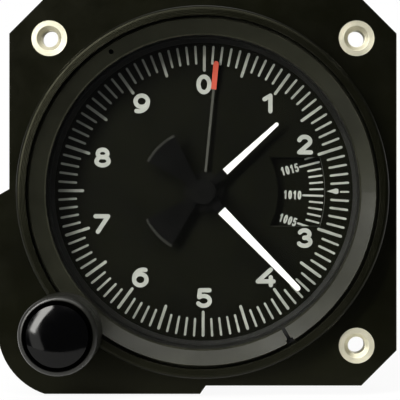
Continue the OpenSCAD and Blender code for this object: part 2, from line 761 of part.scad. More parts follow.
module case_screws() {
  head_r = cover_screw_d * 0.9;
  head_h = cover_screw_d * 0.6;
  slot_w = 0.5;
  slot_depth = 0.4;
  color(steel) on_panel() {
    at_z(chamber_back - pinion_cover_t) mirror([0, 0, 1]) at_pinion_screws()
      flush_screw(pinion_screw_d, pinion_cover_t + pinion_screw_len);
    at_cover_screws() {
      bar(cover_screw_d / 2, cover_back + cover_screw_len, cover_back);
      difference() {
        bar(head_r, cover_back, cover_back - head_h);
        at_z(cover_back - head_h) cube([head_r * 3, slot_w, slot_depth * 2], center = true);
      }
    }
  }
}
module cover_outline() {
  circle(r = case_r);
  at_cover_screws() circle(r = cover_ear_r);
}
module rear_gasket() {
  color(black) on_panel() slab(-case_depth, cover_front) difference() {
    cover_outline();
    circle(r = tube_in_r);
    at_cover_screws() circle(r = cover_screw_d / 2 + run_gap);
  }
}
module rear_cover() {
  color(black) on_panel() difference() {
    slab(cover_front, cover_back) cover_outline();
    at_cover_screws() bar(cover_screw_d / 2 + run_gap, cover_front + 1, cover_back - 1);
    bar(bush_r, cover_front + 1, bush_back);
    translate(nipple_at) bar(nipple_stem_d / 2 + run_gap, cover_front + 1, cover_back - 1);
  }
}
module rear_pivot_bush() {
  color(brass) on_panel() tube(bush_r, rear_pivot_d / 2 + run_gap, cover_front + gasket_t, bush_back);
}
module static_nipple() {
  lead = nipple_d / 10;
  color(steel) on_panel() translate(nipple_at) difference() {
    union() {
      bar(nipple_stem_d / 2, cover_front, nipple_base);
      at_z(nipple_base - hex_t) cylinder(r = hex_d / 2, h = hex_t, $fn = 6);
      bar(nipple_d / 2, nipple_base, nipple_tip + lead);
      at_z(nipple_tip) cylinder(r1 = nipple_d / 2 - lead, r2 = nipple_d / 2, h = lead);
    }
    bar(nipple_bore_d / 2, cover_front + 1, nipple_tip - 1);
  }
}
module nipple_washer() {
  washer_r = hex_d * 0.42;
  color("brown") on_panel() translate(nipple_at)
    tube(washer_r, nipple_stem_d / 2 + run_gap, cover_back, nipple_base);
}

module knob_body() {
  r = knob_d / 2;
  top = knob_top;
  cap_groove = 0.9;
  color(black) on_panel() at_knob() difference() {
    rotate_extrude() {
      translate([0, knob_base]) square([r, knob_h - knob_edge]);
      translate([0, knob_base]) square([r - knob_edge, knob_h]);
      translate([r - knob_edge, top - knob_edge]) circle(r = knob_edge);
    }
    bar(cap_groove_r, top + 1, top - cap_groove);
    bar(cap_r, top, top - cap_seat);
    bar(collet_r, top, knob_base - 1);
  }
}
module knob_collet() {
  color(brass) on_panel() at_knob() tube(collet_r, knob_shaft_d / 2, collet_back, knob_base);
}
module collet_screw() {
  slot_w = 0.7;
  color(steel) on_panel() at_knob() difference() {
    bar(collet_r - seat_gap, collet_front, collet_back);
    at_z(collet_front) cube([collet_r * 3, slot_w, collet_head], center = true);
  }
}
module knob_cap() {
  skirt = 0.3;
  recess = 0.4;
  dome_r = (cap_r ^ 2 + dome_h ^ 2) / (2 * dome_h);
  color(black) on_panel() at_knob() difference() {
    union() {
      bar(cap_r, knob_top + skirt, knob_top - cap_seat);
      intersection() {
        at_z(knob_top + skirt + dome_h - dome_r) sphere(r = dome_r);
        bar(cap_r, knob_top + skirt + dome_h + 1, knob_top + skirt - 0.01);
      }
    }
    bar(collet_r, knob_top - cap_seat + recess, knob_top - cap_seat - 1);
  }
}
module knob_shaft() {
  color(steel) on_panel() at_knob() {
    bar(knob_shaft_d / 2, collet_back, chamber_back + end_play);
    bar(stop_r, ledge_back + bushing_shoulder - end_play, ledge_back - end_play);
    bar(shaft_end_r, chamber_back + end_play, chamber_back - pinion_cover_t);
  }
}
module setting_pinion() {
  color(brass) on_panel() at_knob() difference() {
    gear(pinion_teeth, setting_module, pinion_phase, ledge_back - end_play, ring_gear_back, 0.85);
    bar(knob_shaft_d / 2, 0, chamber_back);
  }
}

module at_scale_screws() {
  for (a = [0, 120, 240]) clock(a) translate([0, scale_boss_r - scale_screw_in, 0]) children();
}
module at_rivets() {
  for (a = [0:60:300]) clock(a) translate([0, plate_rim_r - rivet_in, 0]) children();
}
module front_plate() {
  color(brass) on_panel() difference() {
    union() {
      bar(plate_rim_r, front_plate_front, front_plate_back);
      tube(plate_rim_r, plate_rim_r - plate_rim_wall, rim_front, front_plate_back);
      bar(scale_boss_r, scale_front - scale_t, front_plate_back);
    }
    bar(third_out_r + run_gap, dial_front, middle_plate_back);
    at_z(front_plate_front) at_pillars() flush_hole(screw_d, plate_t + 1);
    at_scale_screws() bar(screw_d / 2 + run_gap, dial_front, front_plate_back - 1);
    at_rivets() bar(rivet_r, dial_front, ring_gear_back);
    for (c = [rocker, second, first_idler_c, second_idler_c]) translate(c)
      bar(jewel_d / 2, dial_front, middle_plate_back);
    translate(stud_at) bar(stud_r, front_plate_front, front_plate_back - 1);
  }
}
module setting_ring_gear() {
  color(brass) on_panel() difference() {
    gear(ring_teeth, setting_module, 0, front_plate_back, ring_gear_back, 0.85);
    bar(ring_gear_in_r, 0, ring_gear_back - 1);
    at_rivets() bar(rivet_r, 0, ring_gear_back - 1);
  }
}
module ring_gear_rivets() {
  head_step = 0.3;
  color(brass) on_panel() at_rivets() {
    bar(rivet_r, rim_front, ring_gear_back);
    bar(rivet_r + head_step, ring_gear_back, ring_gear_back - head_step);
  }
}
module scale_disc() {
  color(black) on_panel() difference() {
    bar(scale_r, scale_front, scale_front - scale_t);
    bar(scale_hole_r, 0, front_plate_back);
    at_scale_screws() bar(screw_d / 2 + run_gap, 0, front_plate_back);
  }
}
module scale_screws() {
  head_r = screw_d * 0.9;
  head_h = scale_drop / 2;
  color(steel) on_panel() at_scale_screws() {
    bar(screw_d / 2, scale_front, front_plate_back + seat_gap);
    bar(head_r, scale_front + head_h, scale_front);
  }
}
module front_pillars() {
  color(steel) on_panel() at_pillars() difference() {
    bar(pillar_d / 2, front_plate_back, middle_plate_front);
    bar(screw_d / 2 + run_gap, 0, front_plate_front - screw_len - end_play);
    bar(screw_d / 2 + run_gap, middle_plate_front + pillar_thread + end_play, middle_plate_front - 1);
  }
}
module middle_plate() {
  shaft_room = 0.6;
  color(brass) on_panel() difference() {
    bar(plate_rim_r, middle_plate_front, middle_plate_back);
    at_pillars() bar(screw_d / 2 + run_gap, 0, middle_plate_back - 1);
    for (c = [[0, 0], second, first_idler_c, second_idler_c]) translate(c)
      bar(jewel_d / 2, 0, middle_plate_back - 1);
    translate(rocker) bar(arbor_d / 2 + shaft_room, 0, middle_plate_back - 1);
    at_bracket_screws() bar(screw_d / 2 + run_gap, 0, middle_plate_back - 1);
  }
}
module rear_pillars() {
  color(steel) on_panel() at_pillars() difference() {
    union() {
      bar(pillar_d / 2, middle_plate_back, rear_plate_front);
      bar(screw_d / 2, middle_plate_front + pillar_thread, middle_plate_back);
    }
    bar(screw_d / 2 + run_gap, rear_plate_front + screw_len, rear_plate_front - 1);
  }
}
module rear_plate() {
  pivot_shoulder = 1.5;
  color(brass) on_panel() difference() {
    union() {
      bar(plate_rim_r, rear_plate_front, rear_plate_back);
      bar(rear_pivot_d / 2 + pivot_shoulder, rear_plate_back, -case_depth + end_play);
      bar(rear_pivot_d / 2, rear_plate_back, bush_back + end_play);
    }
    at_z(rear_plate_back) mirror([0, 0, 1]) at_pillars() flush_hole(screw_d, plate_t + 1);
    translate(rocker) bar(jewel_d / 2, rear_plate_front + 1, rear_plate_back - 1);
  }
}
module plate_screws() {
  color(steel) on_panel() {
    at_z(front_plate_front) at_pillars() flush_screw(screw_d, screw_len);
    at_z(rear_plate_back) mirror([0, 0, 1]) at_pillars() flush_screw(screw_d, screw_len);
  }
}
module jewel(c, top, bottom) {
  translate(c) tube(jewel_d / 2, pivot_d / 2 + run_gap, top, bottom);
}
module jewels() {
  color("crimson") on_panel() {
    for (c = [rocker, second, first_idler_c, second_idler_c]) jewel(c, front_plate_front, front_plate_back);
    for (c = [[0, 0], second, first_idler_c, second_idler_c]) jewel(c, middle_plate_front, middle_plate_back);
    jewel(rocker, rear_plate_front, rear_plate_back);
  }
}
// Flat spiral that keeps the train's teeth pressed one way
hair_steps = 20;
hair_end_at = 60;
stud_at = second + polar(hair_out_r + stud_r, hair_end_at);
function spiral(r_in, r_out, turns, from, steps) =
  [for (i = [0:turns * steps]) polar(r_in + (r_out - r_in) * i / turns / steps, from + 360 * i / steps)];
module hairspring() {
  inner = spiral(hair_in_r, hair_out_r, hair_turns, hair_end_at, hair_steps);
  outer = spiral(hair_in_r + hair_t, hair_out_r + hair_t, hair_turns, hair_end_at, hair_steps);
  color(steel) on_panel() translate(second) slab(layer(2) + hair_h / 2, layer(2) - hair_h / 2)
    polygon([each inner, for (i = [len(outer) - 1:-1:0]) outer[i]]);
}
module hairspring_stud() {
  stud_end_h = 0.1;
  color(brass) on_panel() difference() {
    translate(stud_at) bar(stud_r, front_plate_front, layer(2) - hair_h / 2 - stud_end_h);
    translate(second) bar(hair_out_r + hair_t, layer(2) + hair_h / 2, layer(2) - hair_h);
  }
}

module at_bracket_screws() {
  for (s = [-1, 1])
    translate([-bracket_at + foot_len - foot_screw_in, capsule_y + s * (bracket_w / 2 - bracket_screw_in), 0])
      children();
}
module capsule_bracket() {
  color(steel) on_panel() difference() {
    union() {
      translate([-bracket_at - bracket_t, capsule_y - bracket_w / 2, capsule_z - bracket_reach])
        cube([bracket_t, bracket_w, middle_plate_back - capsule_z + bracket_reach]);
      translate([-bracket_at - bracket_t, capsule_y - bracket_w / 2, middle_plate_back - foot_t])
        cube([foot_len + bracket_t, bracket_w, foot_t]);
    }
    at_bracket_screws() bar(screw_d / 2 + run_gap, 0, middle_plate_back - foot_t - 1);
    translate([-bracket_at - bracket_t - 1, capsule_y, capsule_z]) rotate([0, 90, 0])
      cylinder(r = stack_stud_r + run_gap, h = bracket_t + 2);
  }
}
module bracket_screws() {
  head_r = screw_d * 0.75;
  head_h = 0.3;
  color(steel) on_panel() at_bracket_screws() {
    bar(screw_d / 2, middle_plate_front, middle_plate_back - foot_t);
    bar(head_r, middle_plate_back - foot_t, middle_plate_back - foot_t - head_h);
  }
}
// The stack's pieces are turned about x
module along_stack(x) {
  translate([x, capsule_y, capsule_z]) rotate([0, 90, 0]) children();
}
module nut(h) {
  difference() {
    cylinder(r = nut_r, h = h, $fn = 6);
    at_z(-1) cylinder(r = stack_stud_r, h = h + 2);
  }
}
module capsule_stud() {
  back = -bracket_at - bracket_t;
  out = back - outer_nut_t - stud_end;
  color(steel) on_panel() {
    along_stack(out) cylinder(r = stack_stud_r, h = stack_start - out);
    along_stack(back - outer_nut_t) nut(outer_nut_t);
    along_stack(-bracket_at) nut(inner_nut_t);
  }
}
// Half profile of one capsule: two corrugated diaphragms that meet at a flat rim
module capsule_half_profile() {
  waves = 4;
  steps = 6;
  out = capsule_r;
  rim = out - capsule_rim_w;
  rim_t = 0.3;
  mid = capsule_t / 2;
  wave_h = 0.28;
  wave_mid = mid * 0.62;
  pad_r = 2.4;
  pad_foot_r = 2.6;
  start = 3;
  function wave(r) = wave_mid + wave_h * sin(360 * waves * (r - start) / (rim - start));
  polygon([
    [0, mid], [0, capsule_t], [pad_r, capsule_t], [pad_foot_r, mid + wave_mid + wave_h / 2],
    for (i = [0:waves * steps]) let (r = start + (rim - start) * i / waves / steps) [r, mid + wave(r)],
    [rim + rim_t, mid + rim_t], [out, mid + rim_t], [out, mid]
  ]);
}
module aneroid_capsules() {
  color(nickel) on_panel() for (k = [0:capsule_count - 1]) along_stack(stack_start + k * capsule_pitch) {
    rotate_extrude() {
      capsule_half_profile();
      translate([0, capsule_t]) mirror([0, 1]) capsule_half_profile();
    }
    if (k < capsule_count - 1) at_z(capsule_t) cylinder(r = capsule_post_r, h = capsule_gap);
  }
}
module capsule_boss() {
  slot_depth = 2 * link_in;
  slot_h = link_t + 2 * seat_gap;
  color(brass) on_panel() difference() {
    along_stack(stack_end) cylinder(r = capsule_boss_r, h = boss_len);
    translate([link_start - slot_depth, capsule_y - 2 * capsule_boss_r, link_z - slot_h / 2])
      cube([slot_depth + 1, 4 * capsule_boss_r, slot_h]);
  }
}
module link_rod() {
  a = [link_start - link_in, capsule_y];
  b = arm_pin;
  run = b - a;
  slot_r = pin_r + seat_gap;
  eye_wall = 1;
  color(steel) on_panel() slab(link_z + link_t / 2, link_z - link_t / 2) difference() {
    union() {
      translate(a) rotate([0, 0, atan2(run.y, run.x)])
        translate([0, -link_w / 2]) square([norm(run), link_w]);
      translate(b) circle(r = slot_r + eye_wall);
      translate(a) circle(r = link_w / 2);
    }
    translate(b + [0, -pin_play]) circle(r = slot_r);
    translate(b + [0, pin_play]) circle(r = slot_r);
    translate(b + [-slot_r, -pin_play]) square([2 * slot_r, 2 * pin_play]);
  }
}

module rocking_shaft() {
  color(steel) on_panel() translate(rocker) {
    bar(pivot_d / 2, front_plate_front - pivot_in, front_plate_back - end_play);
    bar(arbor_d / 2, front_plate_back - end_play, rear_plate_front + end_play);
    bar(pivot_d / 2, rear_plate_front + end_play, rear_plate_back + pivot_in);
  }
}
module rocking_arm() {
  eye_wall = 0.6;
  pin_end = 0.5;
  color(brass) on_panel() {
    slab(arm_z + link_t / 2, arm_z - link_t / 2) difference() {
      union() {
        translate(rocker) circle(r = arm_hub_r);
        translate(rocker) rotate([0, 0, 90 + rest_back]) translate([0, -arm_w / 2]) square([arm_len, arm_w]);
        translate(arm_pin) circle(r = pin_r + eye_wall);
      }
      translate(rocker) circle(r = arbor_d / 2);
    }
    translate(arm_pin) bar(pin_r, arm_z, link_z - link_t / 2 - pin_end);
  }
}
module sector_gear() {
  span = 360 / sector_teeth * (2 * sector_half_teeth + 1);
  root = sector_pitch_r - 1.2 * sector_module;
  rim = 2.2;
  side = 8;
  sector_hub_r = 2.4;
  web_r = 4;
  spoke_w = 1.6;
  color(brass) on_panel() translate(rocker) slab(layer(6) + wheel_t / 2, layer(6) - wheel_t / 2)
    difference() {
      union() {
        polygon([
          [0, 0],
          each teeth(
            sector_teeth, sector_module, sector_line, -sector_half_teeth, sector_half_teeth, 0.75, 1.2
          )
        ]);
        circle(r = sector_hub_r);
      }
      rotate([0, 0, sector_line - 90]) difference() {
        intersection() {
          circle(r = root - rim);
          wedge(span - 2 * side, root);
        }
        circle(r = web_r);
        translate([-spoke_w / 2, 0]) square([spoke_w, root]);
      }
      circle(r = arbor_d / 2);
    }
}
module pinion_on_arbor(n, m, phase, at_layer, add = 0.9) {
  gear(n, m, phase, layer(at_layer) + leaf_len / 2, layer(at_layer) - leaf_len / 2, add);
}
module arbor(r, body_top, body_bottom) {
  bar(r, body_top, body_bottom);
  bar(pivot_d / 2, front_plate_front - pivot_in, body_top);
  bar(pivot_d / 2, body_bottom, middle_plate_back + pivot_in);
}
module second_arbor() {
  collet_gap = 0.3;
  collet_h = 1;
  color(steel) on_panel() translate(second) {
    arbor(thin_r, front_plate_back - end_play, middle_plate_front + end_play);
    pinion_on_arbor(second_leaves, sector_module, second_pinion_phase, 6);
    bar(hair_in_r - collet_gap, layer(2) + collet_h / 2, layer(2) - collet_h / 2);
  }
}
module spokes_cut(hub, rim, count, w) {
  difference() {
    circle(r = rim);
    circle(r = hub);
    for (k = [0:count - 1]) rotate([0, 0, k * 360 / count]) translate([-w / 2, 0]) square([w, rim]);
  }
}
module wheel(n, m, phase, at_layer, bore, hub, add = 0.75) {
  root = n * m / 2 - 1.2 * m;
  rim_w = 1;
  spoke_w = 1.2;
  slab(layer(at_layer) + wheel_t / 2, layer(at_layer) - wheel_t / 2) difference() {
    polygon(teeth(n, m, phase, 0, n - 1, add, 1.2));
    circle(r = bore);
    spokes_cut(hub, root - rim_w, 4, spoke_w);
  }
}
module second_wheel() {
  color(brass) on_panel() translate(second) wheel(second_teeth, second_module, 0, 5, thin_r, 2.4);
}

module pointer_staff() {
  color(steel) on_panel() {
    bar(staff_d / 2, long_top, middle_plate_front + end_play);
    bar(pivot_d / 2, middle_plate_front + end_play, middle_plate_back + pivot_in);
    pinion_on_arbor(staff_leaves, second_module, staff_pinion_phase, 5);
    pinion_on_arbor(motion_leaves, idler_module, 0, 4);
  }
}
module short_sleeve() {
  color(brass) on_panel() difference() {
    union() {
      bar(short_out_r, short_level + pointer_t + hub_step, layer(3) - wheel_t / 2);
      pinion_on_arbor(motion_leaves, idler_module, 0, 2);
    }
    bar(short_in_r, 0, middle_plate_back);
  }
}
module short_sleeve_wheel() {
  color(brass) on_panel() wheel(sleeve_teeth, sleeve_module, short_wheel_phase, 3, short_out_r, 2.6);
}
module third_sleeve() {
  color(brass) on_panel()
    tube(third_out_r, third_in_r, third_level + pointer_t + hub_step, layer(1) - wheel_t / 2);
}
module third_sleeve_wheel() {
  color(brass) on_panel() wheel(sleeve_teeth, sleeve_module, third_wheel_phase, 1, third_out_r, 3.2);
}
module idler(center, wheel_phase, wheel_layer, pinion_layer) {
  translate(center) {
    arbor(thin_r, front_plate_back - end_play, middle_plate_front + end_play);
    wheel(idler_teeth, idler_module, wheel_phase, wheel_layer, thin_r, 2);
    pinion_on_arbor(motion_leaves, sleeve_module, 0, pinion_layer);
  }
}
module first_idler() {
  color(brass) on_panel() idler(first_idler_c, first_wheel_phase, 4, 3);
}
module second_idler() {
  color(brass) on_panel() idler(second_idler_c, second_wheel_phase, 2, 1);
}

// A pointer's blade, pointing up, from its hub to a blunt tip
module blade(long, w, tip_w) {
  polygon([[-w / 2, 0], [w / 2, 0], [tip_w / 2, long - tip_w / 2], [-tip_w / 2, long - tip_w / 2]]);
  translate([0, long - tip_w / 2]) circle(r = tip_w / 2);
}
module tail() {
  rotate([0, 0, 180]) intersection() {
    circle(r = tail_r);
    wedge(tail_span, tail_r);
  }
}
module long_pointer() {
  color(white) on_panel() slab(long_level + pointer_t, long_level) clock(long_at) difference() {
    union() {
      blade(long_len, long_w, long_tip_w);
      tail();
      circle(r = hub_r - hub_taper);
    }
    circle(r = staff_d / 2);
  }
}
module long_hub() {
  color(black) on_panel() {
    bar(hub_r - hub_taper, long_top + hub_cap_t, long_top);
    tube(hub_r - hub_taper, staff_d / 2, long_top, long_level + pointer_t);
  }
}
module short_pointer() {
  color(white) on_panel() slab(short_level + pointer_t, short_level) clock(short_at) difference() {
    union() {
      blade(short_len, short_w, short_tip_w);
      tail();
      circle(r = hub_r);
    }
    circle(r = short_out_r);
  }
}
module short_hub() {
  color(black) on_panel()
    tube(hub_r, short_out_r, short_level + pointer_t + hub_step, short_level + pointer_t);
}
module third_pointer() {
  stem = third_len - third_tip_len;
  color("#c9472f") on_panel() slab(third_level + pointer_t, third_level) clock(third_at) difference() {
    union() {
      circle(r = third_disc_r);
      translate([-third_w / 2, 0]) square([third_w, stem + third_w]);
      translate([0, stem]) blade(third_tip_len, third_tip_w, third_tip_w);
    }
    circle(r = third_out_r);
  }
}

case_body();
mounting_flange();
mounting_inserts();
retaining_ring();
front_glass();
glass_seal();
spacer_ring();
dial_plate();
knob_bushing();
shaft_seal();
gland_washer();
pinion_cover();
case_screws();
rear_gasket();
rear_cover();
rear_pivot_bush();
static_nipple();
nipple_washer();
knob_body();
knob_collet();
collet_screw();
knob_cap();
knob_shaft();
setting_pinion();
front_plate();
setting_ring_gear();
ring_gear_rivets();
scale_disc();
scale_screws();
front_pillars();
middle_plate();
rear_pillars();
rear_plate();
plate_screws();
jewels();
hairspring();
hairspring_stud();
capsule_bracket();
bracket_screws();
capsule_stud();
aneroid_capsules();
capsule_boss();
link_rod();
rocking_shaft();
rocking_arm();
sector_gear();
second_arbor();
second_wheel();
pointer_staff();
long_pointer();
long_hub();
short_sleeve();
short_sleeve_wheel();
short_pointer();
short_hub();
third_sleeve();
third_sleeve_wheel();
third_pointer();
first_idler();
second_idler();
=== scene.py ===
"""Looks for the panel altimeter: printed dial, finishes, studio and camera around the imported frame."""

import json
import math

import bpy
from mathutils import Matrix, Vector
from mathutils.geometry import delaunay_2d_cdt


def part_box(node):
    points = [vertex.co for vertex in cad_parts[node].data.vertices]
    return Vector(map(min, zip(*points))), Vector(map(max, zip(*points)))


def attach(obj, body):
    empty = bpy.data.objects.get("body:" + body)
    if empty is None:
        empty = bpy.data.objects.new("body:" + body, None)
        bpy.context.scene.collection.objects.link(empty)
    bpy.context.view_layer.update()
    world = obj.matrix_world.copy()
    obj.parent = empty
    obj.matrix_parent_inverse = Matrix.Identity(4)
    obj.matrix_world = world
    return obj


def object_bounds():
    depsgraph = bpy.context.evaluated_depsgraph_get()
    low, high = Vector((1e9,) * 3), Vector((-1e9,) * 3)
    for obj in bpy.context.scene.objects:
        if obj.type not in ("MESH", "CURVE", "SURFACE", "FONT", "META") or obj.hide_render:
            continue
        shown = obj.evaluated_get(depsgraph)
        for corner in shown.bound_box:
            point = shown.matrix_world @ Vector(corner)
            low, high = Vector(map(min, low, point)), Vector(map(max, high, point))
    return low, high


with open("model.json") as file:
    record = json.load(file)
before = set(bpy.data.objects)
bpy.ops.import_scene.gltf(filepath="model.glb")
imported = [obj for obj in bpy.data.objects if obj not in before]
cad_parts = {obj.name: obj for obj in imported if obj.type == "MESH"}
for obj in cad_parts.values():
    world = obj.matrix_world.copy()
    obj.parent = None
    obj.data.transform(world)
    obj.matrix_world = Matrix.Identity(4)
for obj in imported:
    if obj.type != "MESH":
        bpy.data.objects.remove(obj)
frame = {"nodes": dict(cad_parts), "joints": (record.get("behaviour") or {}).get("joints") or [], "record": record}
cad_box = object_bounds()

MM = 0.001
WHITE = (1.0, 1.0, 1.0, 1.0)
scene = bpy.context.scene

# The CAD model's own values: millimetres, and degrees clockwise from the top
LONG_AT = 135.6
SHORT_AT = 47.4
THIRD_AT = 5.6
TAIL_R = 13.3
DISC_R = 4.2
WINDOW_AT = 90.0

# Paint, wear, painted highlight and painted shade, and turned rings on the CAD pieces, in millimetres
LONG_PAINT_FROM = 5.4
SHORT_PAINT_FROM = 6.1
THIRD_PAINT_FROM = 21.4
PAINT_BLUR = 0.04
STEM_BLUR = 0.05
# The painted highlight along the pointers' tail rims starts at the first radius and is full by the second
RIM_HIGHLIGHT_FROM = TAIL_R - 0.75
RIM_HIGHLIGHT_FULL = TAIL_R - 0.35
WORN_EDGE = 0.28
TURNED_IN = 35.1
TURNED_OUT = 37.0
TURNED_PITCH = 0.3
INSERT_FACE_FROM = 1.78
THREAD_PITCH = 0.8
# Inside the first radius around the knob's axis the knob has painted shade, which fades out by the second
KNOB_PAINTED_SHADE_TO = 6.9
KNOB_PAINTED_SHADE_END = 7.15

# Colours that two pointers share
POINTER_WHITE = (0.90, 0.90, 0.87)
POINTER_BLACK = (0.0012, 0.0012, 0.0010)
# A lighter colour along the tails' rims: a painted highlight
RIM_HIGHLIGHT = (0.022, 0.022, 0.019)

# The studio, in metres
FLOOR_GAP = 0.0004
FLOOR_HALF = 3.0
FLOOR_FRONT = -0.033
FLOOR_FADE_END = -0.012
FLOOR_FADE_NEAR = 0.10
FLOOR_FADE_FAR = 0.28
CAMERA_AWAY = 0.300
CAMERA_X = 0.008
CAMERA_Z = 0.003
VIEW_WIDTH = 0.0818
NEAREST_SEEN = 0.01

# The camera's sensor in millimetres, and its shift in sensor widths
SENSOR_WIDTH = 36.0
CAMERA_SHIFT_X = -0.1051
CAMERA_SHIFT_Y = -0.0568

# How much of the floor near the object is its own white, and the lamps' colour
FLOOR_LIFT = 0.93
LAMP_COLOR = (1.0, 0.99, 0.95)

# How bright the room is before, behind and above the object
ROOM_BEFORE = 0.13
ROOM_BEHIND = 0.6
ROOM_ABOVE = 0.3

# The dial's print, in millimetres and degrees. It lies a little off the case's centre and a little turned
PRINT_SHIFT = Vector((0.01, 0.09))
PRINT_TURN = 0.256
TICKS = 100
LONG_EVERY = 5
TICK_OUT = 30.38
TICK_IN = 26.45
LONG_TICK_IN = 24.92
TICK_W = 0.46
LONG_TICK_W = 0.6
WINDOW_TICK_IN = 28.4
WINDOW_TICK_W = 0.4
INDEX_IN = 25.7
INDEX_OUT = 28.1
INDEX_HALF = 0.6
INDEX_CORNER = 0.5
NUMERAL_AT = [(0.06, 22.37), (13.6, 18.4), (21.07, 9.82), (21.1, -9.67), (12.96, -17.87),
              (0.1, -22.19), (-13.22, -17.89), (-21.24, -6.76), (-21.09, 7.12), (-12.93, 18.4)]
NUMERAL_H = 4.15
NUMERAL_W = 3.5
NUMERAL_STROKE = 0.9
INK_T = 0.03

# The pressure scale's print, in the same units
PRESSURES = range(950, 1051)
DEGREES_PER_UNIT = 3.3
PRESSURE_AT_INDEX = 1010.64
SCALE_OUT = 25.1
SCALE_TICK_IN = 22.1
SCALE_LONG_TICK_IN = 20.6
SCALE_TICK_W = 0.38
SCALE_LONG_TICK_W = 0.42
LABEL_IN = 16.6
LABEL_H = 1.85
LABEL_W = 0.84
LABEL_STEP = 0.99
LABEL_STROKE = 0.34


def clock_dir(angle):
    """Unit vector in the dial's plane at an angle clockwise from the top."""
    a = math.radians(angle)
    return Vector((math.sin(a), math.cos(a)))


def place_of(rows, name):
    """Where the frame has a joint or a mount, in metres."""
    return next(Vector(row["pos_m"]) for row in rows if row["name"] == name)


# Flat outlines

def arc(cx, cy, rx, ry, start, end, steps=12):
    """Points along an ellipse's arc, angles counterclockwise from the right."""
    points = []
    for i in range(steps + 1):
        a = math.radians(start + (end - start) * i / steps)
        points.append((cx + rx * math.cos(a), cy + ry * math.sin(a)))
    return points


# Centre lines of the numerals in a box one unit wide and one unit high
GLYPHS = {
    "0": [arc(.5, .5, .44, .5, 88, 272), arc(.5, .5, .44, .5, -92, 92)],
    "1": [[(.15, .77), (.62, 1)], [(.62, 1), (.62, 0)]],
    "2": [arc(.5, .71, .44, .29, 165, -28) + [(.06, 0)], [(.06, 0), (1, 0)]],
    "3": [arc(.47, .75, .40, .25, 155, -92), arc(.47, .26, .48, .26, 92, -155)],
    "4": [[(.9, 1), (-.14, .24)], [(-.14, .24), (1.12, .24)], [(.9, .5), (.9, 0)]],
    "5": [[(.92, 1), (.16, 1)], [(.16, 1), (.1, .56)], arc(.46, .32, .5, .32, 131, -150)],
    "6": [arc(.5, .36, .5, .36, 88, 272), arc(.5, .36, .5, .36, -92, 92),
          arc(.72, .4, .72, .6, 74, 184)],
    "7": [[(0, 1), (1, 1)], [(1, 1), (.18, 0)]],
    "8": [arc(.5, .76, .39, .24, 88, 272), arc(.5, .76, .39, .24, -92, 92),
          arc(.5, .27, .49, .27, 88, 272), arc(.5, .27, .49, .27, -92, 92)],
    "9": [arc(.5, .64, .5, .36, 88, 272), arc(.5, .64, .5, .36, -92, 92),
          arc(.28, .6, .72, .6, -106, 4)],
}


def stroke(points, width, cap_steps=5):
    """Outline of a line with round ends along a smooth row of points."""
    points = [Vector(p) for p in points]
    normals = []
    for i in range(len(points)):
        before = points[max(i - 1, 0)]
        after = points[min(i + 1, len(points) - 1)]
        run = (after - before).normalized()
        normals.append(Vector((-run.y, run.x)))
    half = width / 2
    left = [p + n * half for p, n in zip(points, normals)]
    right = [p - n * half for p, n in zip(points, normals)]

    def cap(centre, normal):
        start = math.atan2(normal.y, normal.x)
        turn = [start - math.pi * k / cap_steps for k in range(1, cap_steps)]
        return [centre + Vector((math.cos(a), math.sin(a))) * half for a in turn]

    clockwise = left + cap(points[-1], normals[-1]) + right[::-1] + cap(points[0], -normals[0])
    return clockwise[::-1]


def glyph(character, height, width, line, place):
    """Outlines of one numeral; place() takes a point of its own box to the dial."""
    box_w, box_h = width - line, height - line
    outlines = []
    for path in GLYPHS[character]:
        path = [((x - .5) * box_w, (y - .5) * box_h) for x, y in path]
        outlines.append([place(p) for p in stroke(path, line)])
    return outlines


def radial_tick(angle, inner, outer, width, centre=Vector((0, 0))):
    """Outline of a tick with round ends, between two radii."""
    d = clock_dir(angle)
    half = width / 2
    return stroke([centre + d * (inner + half), centre + d * (outer - half)], width, 4)


def dial_tick(angle, inner, outer, width):
    return radial_tick(angle + PRINT_TURN, inner, outer, width, PRINT_SHIFT)


# Printed pieces

def union(outlines):
    """Points and triangles of the area that the overlapping outlines cover."""
    points, faces = [], []
    for outline in outlines:
        faces.append(list(range(len(points), len(points) + len(outline))))
        points += [Vector(p) for p in outline]
    flat, _, cells, _, _, sources = delaunay_2d_cdt(points, [], faces, 1, 1e-6)
    return flat, [c for c, source in zip(cells, sources) if source]


def ink_piece(name, groups, back_y, thickness, body, material):
    """A thin closed layer of print on a face that looks toward -Y."""
    verts, faces = [], []
    for outlines in groups:
        flat, cells = union(outlines)
        start, count = len(verts), len(flat)
        front, back = back_y - thickness * MM, back_y
        verts += [(p.x * MM, front, p.y * MM) for p in flat]
        verts += [(p.x * MM, back, p.y * MM) for p in flat]
        edges = {}
        for cell in cells:
            faces.append([start + i for i in cell])
            faces.append([start + count + i for i in reversed(cell)])
            for a, b in zip(cell, list(cell[1:]) + [cell[0]]):
                edges[(a, b)] = True
        for a, b in edges:
            if (b, a) not in edges:
                faces.append([start + b, start + a, start + count + a, start + count + b])
    mesh = bpy.data.meshes.new(name)
    mesh.from_pydata(verts, [], faces)
    mesh.validate()
    mesh.update()
    piece = bpy.data.objects.new(name, mesh)
    scene.collection.objects.link(piece)
    piece.data.materials.append(material)
    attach(piece, body)


def dial_tick_groups():
    groups = []
    for n in range(TICKS):
        angle = n * 360 / TICKS
        if angle == WINDOW_AT:
            groups.append([dial_tick(angle, WINDOW_TICK_IN, TICK_OUT, WINDOW_TICK_W)])
        elif n % LONG_EVERY == 0:
            groups.append([dial_tick(angle, LONG_TICK_IN, TICK_OUT, LONG_TICK_W)])
        else:
            groups.append([dial_tick(angle, TICK_IN, TICK_OUT, TICK_W)])
    return groups


def dial_numeral_groups():
    groups = []
    for n, place in enumerate(NUMERAL_AT):
        groups.append(glyph(str(n), NUMERAL_H, NUMERAL_W, NUMERAL_STROKE,
                            lambda p: Vector(place) + Vector(p)))
    return groups


